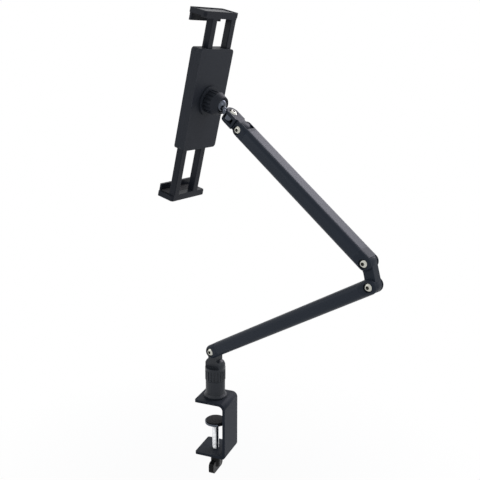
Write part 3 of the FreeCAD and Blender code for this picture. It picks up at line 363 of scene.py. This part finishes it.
broken = remap(worn_and_highlit_edges, patches, WEAR_AND_HIGHLIGHT_LOW, WEAR_AND_HIGHLIGHT_HIGH, WEAR_AND_HIGHLIGHT_LEAST, 1.0)
worn_and_highlit_edges.links.new(product(worn_and_highlit_edges, edge, broken), end.inputs["Mask"])
print("group", worn_and_highlit_edges.name)

# %% [markdown]
# **Settled dust** lies on faces that look up, in slow patches. The height of the normal gives the first and
# noise the second. It is kept very faint, because the stand is new.

# %% Group: settled dust
UPWARD_STARTS = 0.3
UPWARD_FULL = 0.95
CLOUD_LOW = 0.4
CLOUD_HIGH = 0.7
settled_dust, start, end = new_group(
    "settled_dust",
    [("Amount", "NodeSocketFloat", 0.1), ("Patch Scale", "NodeSocketFloat", 60.0)],
    [("Mask", "NodeSocketFloat")],
)
facing = settled_dust.nodes.new("ShaderNodeNewGeometry")
parts = settled_dust.nodes.new("ShaderNodeSeparateXYZ")
settled_dust.links.new(facing.outputs["Normal"], parts.inputs[0])
upward = remap(settled_dust, parts.outputs["Z"], UPWARD_STARTS, UPWARD_FULL)
place = object_place(settled_dust)
cloud = noise(settled_dust, place, start.outputs["Patch Scale"], detail=6.0, roughness=0.7)
lying = product(settled_dust, upward, remap(settled_dust, cloud, CLOUD_LOW, CLOUD_HIGH))
amount = product(settled_dust, lying, start.outputs["Amount"])
settled_dust.links.new(amount, end.inputs["Mask"])
print("group", settled_dust.name)

# %% [markdown]
# ## Finishes
# Paints and plastics follow one recipe: two close tones mixed by a slow patch, a lighter tone on edges for wear
# and a painted edge highlight, a breath of dust, a roughness that changes with the grain, and a bump from the
# grain. A function holds the recipe and a table holds its values in their order, so the finishes stay easy to
# compare.

# %% The recipe
def from_screen(*values):
    """A colour as it looks on a screen, 0 to 255, as the linear values that Blender works in."""
    linear = []
    for value in values:
        share = value / 255
        linear.append(share / 12.92 if share <= 0.04045 else ((share + 0.055) / 1.055) ** 2.4)
    return (*linear, 1.0)


def placed(tree, group, **values):
    """One use of a node group, with its own input values."""
    node = tree.nodes.new("ShaderNodeGroup")
    node.node_tree = group
    for socket, value in values.items():
        node.inputs[socket.replace("_", " ")].default_value = value
    return node


def mixed(tree, factor, first, second):
    """A colour mix, of colours or colour sockets."""
    node = tree.nodes.new("ShaderNodeMix")
    node.data_type = "RGBA"
    tree.links.new(factor, node.inputs["Factor"])
    for socket, value in ((node.inputs[6], first), (node.inputs[7], second)):
        if isinstance(value, tuple):
            socket.default_value = value
        else:
            tree.links.new(value, socket)
    return node.outputs[2]


COAT_SHINE = 0.2
GRAIN_DEPTH = 0.0002
DUST_TONE = (190, 190, 188)
DUST_AMOUNT = 0.04


def coated(name, tone, other, edge, roughness, spread, grain, bump, shine=COAT_SHINE):
    """Paint or plastic: a grained coat whose tone, gloss and edges vary."""
    material = bpy.data.materials.new(name)
    material.use_nodes = True
    tree = material.node_tree
    shader = tree.nodes["Principled BSDF"]
    shader.inputs["Specular IOR Level"].default_value = shine
    grained = placed(tree, coat_grain, Scale=grain)
    edges = placed(tree, worn_and_highlit_edges)
    dusty = placed(tree, settled_dust, Amount=DUST_AMOUNT)
    body = mixed(tree, grained.outputs["Patch"], from_screen(*tone), from_screen(*other))
    # Lighter edges: wear, and a painted edge highlight.
    wear_and_highlight = mixed(tree, edges.outputs["Mask"], body, from_screen(*edge))
    dusted = mixed(tree, dusty.outputs["Mask"], wear_and_highlight, from_screen(*DUST_TONE))
    tree.links.new(dusted, shader.inputs["Base Color"])
    smooth, rough = roughness - spread, roughness + spread
    gloss = remap(tree, grained.outputs["Height"], NOISE_LOW, NOISE_HIGH, smooth, rough)
    tree.links.new(gloss, shader.inputs["Roughness"])
    bumped = tree.nodes.new("ShaderNodeBump")
    bumped.inputs["Strength"].default_value = bump
    bumped.inputs["Distance"].default_value = GRAIN_DEPTH
    tree.links.new(grained.outputs["Height"], bumped.inputs["Height"])
    tree.links.new(bumped.outputs[0], shader.inputs["Normal"])
    return material


# The third tone of each row is the lighter edge tone: wear, and a painted edge highlight.
COATED = {
    "clamp_paint": ((38, 43, 51), (34, 39, 47), (60, 66, 75), 0.46, 0.05, 1300.0, 0.10, 0.08),
    "post_paint": ((38, 42, 48), (34, 38, 44), (62, 66, 74), 0.40, 0.05, 1300.0, 0.10, 0.3),
    "joint_paint": ((37, 44, 54), (34, 41, 51), (56, 63, 74), 0.46, 0.04, 1500.0, 0.04, 0.16),
    "black_plastic": ((46, 49, 55), (43, 46, 52), (62, 65, 72), 0.50, 0.05, 2200.0, 0.12, 0.14),
    "gloss_black": ((36, 39, 46), (33, 36, 43), (52, 56, 63), 0.32, 0.03, 1800.0, 0.05, 0.12),
    "knob_plastic": ((14, 14, 15), (12, 12, 13), (34, 34, 36), 0.34, 0.04, 1800.0, 0.06, 0.12),
    "rubber": ((38, 38, 40), (34, 34, 36), (54, 54, 56), 0.72, 0.08, 1100.0, 0.30),
    "nylon": ((196, 194, 186), (188, 186, 178), (206, 204, 198), 0.42, 0.05, 900.0, 0.10),
}
finishes = {name: coated(name, *values) for name, values in COATED.items()}
print("coated finishes:", ", ".join(finishes))

# %% [markdown]
# Metals take their colour from what they mirror, so they get a metallic shader, drawn or turned lines, and a
# small spread of roughness. The arms are aluminium with a dark anodised skin: partly metal, and drawn along
# each arm. Each arm therefore has its own direction for the lines.

# %% Metals
METAL_SHINE = 0.5
LINE_DEPTH = 0.0001
# Metal edges are lifted lighter: wear, and a painted edge highlight.
EDGE_WEAR_AND_HIGHLIGHT_LIFT = 24


def metal(name, tone, other, metallic, roughness, spread, turn, stretch, scale, bump, shine=METAL_SHINE):
    """Metal whose tone and gloss follow drawn or turned lines."""
    material = bpy.data.materials.new(name)
    material.use_nodes = True
    tree = material.node_tree
    shader = tree.nodes["Principled BSDF"]
    shader.inputs["Metallic"].default_value = metallic
    shader.inputs["Specular IOR Level"].default_value = shine
    lined = placed(tree, drawn_lines, Turn=turn, Stretch=stretch, Scale=scale)
    edges = placed(tree, worn_and_highlit_edges)
    body = mixed(tree, lined.outputs["Streak"], from_screen(*tone), from_screen(*other))
    # Lighter edges: wear, and a painted edge highlight.
    lighter = tuple(min(255, channel + EDGE_WEAR_AND_HIGHLIGHT_LIFT) for channel in tone)
    wear_and_highlight = mixed(tree, edges.outputs["Mask"], body, from_screen(*lighter))
    tree.links.new(wear_and_highlight, shader.inputs["Base Color"])
    smooth, rough = roughness - spread, roughness + spread
    gloss = remap(tree, lined.outputs["Height"], NOISE_LOW, NOISE_HIGH, smooth, rough)
    tree.links.new(gloss, shader.inputs["Roughness"])
    bumped = tree.nodes.new("ShaderNodeBump")
    bumped.inputs["Strength"].default_value = bump
    bumped.inputs["Distance"].default_value = LINE_DEPTH
    tree.links.new(lined.outputs["Height"], bumped.inputs["Height"])
    tree.links.new(bumped.outputs[0], shader.inputs["Normal"])
    return material


EVEN = (1.0, 1.0, 1.0)
LEVEL = (0.0, 0.0, 0.0)
METALS = {
    "nickel": ((192, 192, 184), (180, 180, 172), 1.0, 0.20, 0.04, LEVEL, EVEN, 900.0, 0.04),
    # socket_shade is painted shade: a dark metal tone for the inside of the bolt sockets.
    "socket_shade": ((60, 60, 56), (50, 50, 46), 1.0, 0.42, 0.05, LEVEL, EVEN, 900.0, 0.04),
    "chrome": ((226, 228, 230), (216, 218, 220), 1.0, 0.10, 0.03, LEVEL, (1.0, 1.0, 8.0), 500.0, 0.04),
    "steel": ((188, 190, 192), (172, 174, 176), 1.0, 0.28, 0.06, LEVEL, EVEN, 1200.0, 0.08),
    "dark_steel": ((82, 87, 96), (74, 79, 88), 1.0, 0.24, 0.04, LEVEL, EVEN, 1200.0, 0.04),
}
for name, values in METALS.items():
    finishes[name] = metal(name, *values)
print("metal finishes:", ", ".join(METALS))

# %% [markdown]
# ## The arms
# The direction of an arm follows from its two hinges, which the model's joints give. From it comes the turn
# that lays the lines of the anodised skin along the arm.

# %% Arm finishes
ARM_TONE = (38, 45, 55)
ARM_OTHER = (35, 42, 52)
ARM_METALLIC = 0.12
ARM_ROUGHNESS = 0.42
ARM_SPREAD = 0.02
ALONG_ARM = (0.02, 1.0, 1.0)
ARM_LINES = 1200.0
ARM_BUMP = 0.01
ARM_SHINE = 0.2


def arm_turn(first, last):
    """The turn that takes world X to the line between two joints."""
    line = Vector(joints[last]["pos_m"]) - Vector(joints[first]["pos_m"])
    return tuple(line.to_track_quat("X", "Z").to_euler())


ARMS = {"lower_arm_tube": ("lower_arm_lift", "elbow_lower"), "upper_arm_tube": ("wrist_tilt", "elbow_upper")}
arm_finishes = {}
for tube, (first, last) in ARMS.items():
    turn = arm_turn(first, last)
    skin = (ARM_TONE, ARM_OTHER, ARM_METALLIC, ARM_ROUGHNESS, ARM_SPREAD)
    lining = (turn, ALONG_ARM, ARM_LINES, ARM_BUMP, ARM_SHINE)
    arm_finishes[tube] = metal(tube + "_skin", *skin, *lining)
    print(tube, "lines turned by", [round(math.degrees(angle), 1) for angle in turn])

# %% [markdown]
# ## Dressing the CAD pieces
# Each CAD piece names a finish in the model's record. We put our finish in its material slots, and leave its
# mesh alone. CAD edges are perfectly sharp, and real ones never are, so a Weld modifier joins the split
# points and a Bevel modifier rounds every sharp edge by a few tenths of a millimetre.

# %% Finishes and soft edges
slot_of = {row["node"]: row["material_slot"] for row in frame["record"]["subparts"]}
EDGE_WIDTH = {
    "clamp_frame": 0.0005,
    "swivel_base": 0.0003,
    "swivel_head": 0.0004,
    "swivel_collar": 0.0002,
    "elbow_link": 0.0006,
    "neck_block": 0.0005,
    "lock_nut": 0.0003,
    "ball_socket": 0.0003,
    "housing_rear": 0.0006,
    "housing_front": 0.0006,
    "upper_jaw": 0.0005,
    "lower_jaw": 0.0005,
    "wing_knob": 0.0010,
    "front_pad": 0.0003,
    "pressure_disc": 0.0003,
    "lower_arm_foot": 0.0003,
    "lower_arm_knuckle": 0.0003,
    "upper_arm_knuckle": 0.0003,
    "upper_arm_wrist": 0.0003,
}
WELD_DISTANCE = 1e-6
SHARP_ANGLE = math.radians(32)
EDGE_SEGMENTS = 2


def soften_edges(node, width):
    weld = node.modifiers.new("weld", "WELD")
    weld.merge_threshold = WELD_DISTANCE
    bevel = node.modifiers.new("soft_edges", "BEVEL")
    bevel.width = width
    bevel.segments = EDGE_SEGMENTS
    bevel.limit_method = "ANGLE"
    bevel.angle_limit = SHARP_ANGLE
    bevel.use_clamp_overlap = True
    bevel.harden_normals = True


for name, node in nodes.items():
    finish = arm_finishes.get(name) or finishes[slot_of[name]]
    if not node.material_slots:
        node.data.materials.append(finish)
    for slot in node.material_slots:
        slot.material = finish
    if name in EDGE_WIDTH:
        soften_edges(node, EDGE_WIDTH[name])
print("dressed", len(nodes), "nodes,", len(EDGE_WIDTH), "with soft edges")

# %% [markdown]
# ## Screws and bolts
# A turned piece is a profile spun round an axis. A button head is a low dome with a six sided socket in it,
# so one more thing is needed: a ring that isn't round. Each ring of the mesh is given as a radius and a
# height, and a ring marked as a hexagon pulls its points in to six flats.

# %% Turned pieces
ROUND_STEPS = 48


def hexagon_radius(angle, radius):
    """How far the outline of a hexagon with that corner radius is from its middle, at an angle."""
    sixth = math.pi / 3
    return radius * math.cos(sixth / 2) / math.cos(angle % sixth - sixth / 2)


def tube_faces(first, rings, steps):
    """The faces of a tube of rings of points: a band between each two rings, and one face at each end."""
    faces = []
    for ring in range(rings - 1):
        low = first + ring * steps
        high = low + steps
        for step in range(steps):
            following = (step + 1) % steps
            faces.append((low + step, low + following, high + following, high + step))
    faces.append([first + step for step in reversed(range(steps))])
    faces.append([first + (rings - 1) * steps + step for step in range(steps)])
    return faces


def turned_mesh(name, rings, frames):
    """Rings of (radius, height, shape) along Z, closed at both ends, once for each frame."""
    points, faces = [], []
    for place in frames:
        faces += tube_faces(len(points), len(rings), ROUND_STEPS)
        for radius, height, shape in rings:
            for step in range(ROUND_STEPS):
                angle = 2 * math.pi * step / ROUND_STEPS
                reach = hexagon_radius(angle, radius) if shape == "hexagon" else radius
                points.append(place @ Vector((reach * math.cos(angle), reach * math.sin(angle), height)))
    return shown_mesh(name, points, faces)


def shown_mesh(name, points, faces, smooth_angle=35.0):
    """An object from points and faces, smooth except at edges sharper than an angle."""
    mesh = bpy.data.meshes.new(name)
    mesh.from_pydata([tuple(point) for point in points], [], faces)
    mesh.validate()
    mesh.shade_smooth()
    mesh.set_sharp_from_angle(angle=math.radians(smooth_angle))
    piece = bpy.data.objects.new(name, mesh)
    bpy.context.scene.collection.objects.link(piece)
    return piece


def frame_at(place, axis):
    """A frame whose Z runs along an axis."""
    return Matrix.Translation(place) @ Vector(axis).to_track_quat("Z", "Y").to_matrix().to_4x4()


print("round pieces have", ROUND_STEPS, "steps")

# %% [markdown]
# The hinge bolts sit in seats on the near side of each fork, with their nuts on the far side. In the picture they
# are the brightest spots of the arms: small nickel domes, each with a socket in its middle whose walls and floor
# carry a painted shade.

# %% Hinge bolts
MM = 0.001
HEAD_TOP = 11.8 * MM
HEAD_SEAT = 9.8 * MM
BOLT_END = -11.6 * MM
BOLT_RADIUS = 2.5 * MM
HEAD_RADIUS = 4.6 * MM
SOCKET_RADIUS = 2.3 * MM
SOCKET_DEPTH = 1.3 * MM
SOCKET_CONE = 0.2 * MM
SOCKET_RIM = 0.5 * MM
END_CHAMFER = 0.4 * MM
STRAIGHT_SHARE = 0.35
DOME_SHARES = (0.55, 0.75, 0.9, 1.0)
DOME_BULGE = 0.55
DOME_WIDTH = 0.92
SOCKET_TIP = SOCKET_RADIUS / 2
SOCKET_BANDS = 2


def button_rings(head_radius, seat, top, end):
    """A bolt from its lower end up: chamfered shank, domed head, six sided socket."""
    tall = top - seat
    rings = [
        (BOLT_RADIUS - END_CHAMFER, end, "round"),
        (BOLT_RADIUS, end + END_CHAMFER, "round"),
        (BOLT_RADIUS, seat, "round"),
        (head_radius, seat, "round"),
        (head_radius, seat + tall * STRAIGHT_SHARE, "round"),
    ]
    rim = SOCKET_RADIUS + SOCKET_RIM
    dome = 1 - STRAIGHT_SHARE
    for share in DOME_SHARES:
        drop = (1 - math.sqrt(1 - share * share)) * DOME_BULGE
        reach = rim + (head_radius - rim) * (1 - share) * DOME_WIDTH
        rings.append((reach, top - tall * dome * (1 - share) * (1 - drop), "round"))
    rings += [
        (SOCKET_RADIUS, top, "hexagon"),
        (SOCKET_RADIUS, top - SOCKET_DEPTH, "hexagon"),
        (SOCKET_TIP, top - SOCKET_DEPTH - SOCKET_CONE, "round"),
    ]
    return rings


def bolt_mesh(name, rings, frames):
    """Bolts of nickel, with a painted shade, a dark metal tone, on the walls and the floor of each socket."""
    bolts = turned_mesh(name, rings, frames)
    bolts.data.materials.append(finishes["nickel"])
    bolts.data.materials.append(finishes["socket_shade"])
    # The socket's side bands and its floor get the painted shade.
    side_faces = (len(rings) - 1) * ROUND_STEPS
    for face in bolts.data.polygons:
        place = face.index % (side_faces + 2)
        on_side = side_faces - SOCKET_BANDS * ROUND_STEPS <= place < side_faces
        face.material_index = int(on_side or place == side_faces + 1)
    return bolts


head_side = Vector(joints["lower_arm_lift"]["axis"]).normalized()
BOLTED = {"lower_arm": ("lower_arm_lift", "elbow_lower"), "upper_arm": ("elbow_upper", "wrist_tilt")}
hinge_rings = button_rings(HEAD_RADIUS, HEAD_SEAT, HEAD_TOP, BOLT_END)
for body, hinges in BOLTED.items():
    frames = [frame_at(joints[hinge]["pos_m"], head_side) for hinge in hinges]
    bolts = bolt_mesh(body + "_button_bolts", hinge_rings, frames)
    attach(bolts, body)
    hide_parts(body + "_bolts")
    print(bolts.name, len(bolts.data.polygons), "faces")

# %% [markdown]
# The neck bolt is the same kind of bolt with a wider head. It stands on the upper cheek of the neck, where
# it catches the light as a white oval.

# %% Neck bolt
NECK_SEAT = 6.0 * MM
NECK_TOP = 8.2 * MM
NECK_END = -6.8 * MM
NECK_HEAD = 5.0 * MM
neck_frame = frame_at(joints["neck_turn"]["pos_m"], joints["neck_turn"]["axis"])
neck_rings = button_rings(NECK_HEAD, NECK_SEAT, NECK_TOP, NECK_END)
neck_bolt = bolt_mesh("neck_button_bolt", neck_rings, [neck_frame])
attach(neck_bolt, "neck")
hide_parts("neck_bolt")
print("neck bolt", len(neck_bolt.data.polygons), "faces")

# %% [markdown]
# ## The clamp screw
# A thread is a cylinder whose radius goes up and down with height, and whose pattern climbs by one pitch for
# each turn. So the rod is a grid of points round an axis, and the radius of each point comes from its height
# less its share of a turn. The thread fades out at both ends, as a die leaves it.

# %% Threaded rod
PITCH = 2.0 * MM
THREAD_DEEP = 0.65 * MM
ROD_RADIUS = 4.5 * MM
ROWS_PER_PITCH = 8
FADE = 1.5 * MM
THREAD_STEPS = 40
TAIL_TALL = 10.5 * MM
TAIL_RADIUS = 3.6 * MM
TAIL_CHAMFER = 0.3 * MM
TIP_RADIUS = 3.15 * MM
DISC_GAP = 0.05 * MM
FLANK_SLOPE = 1.6
CREST_START = 0.3
ROD_SMOOTH_ANGLE = 60.0
screw_low, screw_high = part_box("clamp_screw")
tail_top = screw_low.z + TAIL_TALL
shank_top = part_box("pressure_disc")[0].z - DISC_GAP


def thread_radius(height, turn_share):
    """The rod's radius at a height and a share of a turn: flat crest, flat root, sloped flanks."""
    phase = (height / PITCH - turn_share) % 1.0
    crest = min(1.0, max(0.0, FLANK_SLOPE * abs(2 * phase - 1) - CREST_START))
    fade = min(1.0, (height - tail_top) / FADE, (shank_top - height) / FADE)
    return ROD_RADIUS - THREAD_DEEP * (1 - crest) * max(0.0, fade)


rows = int((shank_top - tail_top) / PITCH * ROWS_PER_PITCH)
rod_rings = [(TAIL_RADIUS - TAIL_CHAMFER, screw_low.z)]
rod_rings += [(TAIL_RADIUS, screw_low.z + TAIL_CHAMFER), (TAIL_RADIUS, tail_top)]
rod_rings += [(None, tail_top + (shank_top - tail_top) * row / rows) for row in range(rows + 1)]
rod_rings += [(TIP_RADIUS, shank_top), (TIP_RADIUS, screw_high.z)]
rod_points = []
for radius, height in rod_rings:
    for step in range(THREAD_STEPS):
        angle = 2 * math.pi * step / THREAD_STEPS
        reach = radius or thread_radius(height, step / THREAD_STEPS)
        rod_points.append((reach * math.cos(angle), reach * math.sin(angle), height))
rod_faces = tube_faces(0, len(rod_rings), THREAD_STEPS)
rod = shown_mesh("threaded_rod", rod_points, rod_faces, ROD_SMOOTH_ANGLE)
rod.data.materials.append(finishes["chrome"])
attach(rod, "screw")
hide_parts("clamp_screw")
print("threaded rod:", round((shank_top - tail_top) / PITCH, 1), "turns")

# %% [markdown]
# ## Jaw springs
# Inside the holder a coil spring pulls each jaw in. A coil is a tube swept along a helix, so we need the helix's
# points and, at each one, two directions across it. As a jaw closes, the room for its spring shortens. Each row of
# the table gives a spring's direction, its length, the slide and the share of the length that is kept.

# %% Coil springs
WIRE_RADIUS = 0.45 * MM
COIL_RADIUS = 2.7 * MM
COIL_STEPS = 24
WIRE_STEPS = 8
COIL_PITCH = 2.4 * MM
holder_up = Vector(joints["upper_jaw_slide"]["axis"]).normalized()
holder_back = Vector(joints["holder_turn"]["axis"]).normalized()


def coil(name, start, direction, length, turns):
    """A coil spring of round wire, from a point along a direction."""
    side = direction.cross(holder_back).normalized()
    other = direction.cross(side)
    points, faces = [], []
    count = int(turns * COIL_STEPS) + 1
    for index in range(count):
        angle = 2 * math.pi * index / COIL_STEPS
        outward = side * math.cos(angle) + other * math.sin(angle)
        middle = start + direction * (WIRE_RADIUS + (length - 2 * WIRE_RADIUS) * index / (count - 1))
        for step in range(WIRE_STEPS):
            round_wire = 2 * math.pi * step / WIRE_STEPS
            reach = COIL_RADIUS + WIRE_RADIUS * math.cos(round_wire)
            points.append(middle + outward * reach + direction * WIRE_RADIUS * math.sin(round_wire))
    for index in range(count - 1):
        for step in range(WIRE_STEPS):
            following = (step + 1) % WIRE_STEPS
            low, high = index * WIRE_STEPS, (index + 1) * WIRE_STEPS
            faces.append((low + step, high + step, high + following, low + following))
    faces.append(list(range(WIRE_STEPS)))
    faces.append([(count - 1) * WIRE_STEPS + step for step in reversed(range(WIRE_STEPS))])
    return shown_mesh(name, points, faces)


def middle_of(node):
    low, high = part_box(node)
    return (low + high) / 2


SPRINGS = {
    "upper_jaw_spring": (holder_up, 53.8 * MM, "upper_jaw_slide", 0.34),
    "lower_jaw_spring": (-holder_up, 77.9 * MM, "lower_jaw_slide", 0.24),
}
for node_name, (direction, length, slide, keep) in SPRINGS.items():
    start = middle_of(node_name) - direction * length / 2
    spring = coil(node_name + "_coil", start, direction, length, length / COIL_PITCH)
    spring.data.materials.append(finishes["steel"])
    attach(spring, "holder")
    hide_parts(node_name)
    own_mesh(spring)
    print(spring.name, round(length / COIL_PITCH, 1), "turns")

# %% [markdown]
# The Standard view shows a colour as it is written, which suits a product on white. Last, we print the CAD box.
# The looks must not make the stand larger than it is.

# %% View settings and sizes
bpy.context.scene.view_settings.view_transform = "Standard"
print("cad box", [round(value, 4) for corner in cad_box for value in corner])
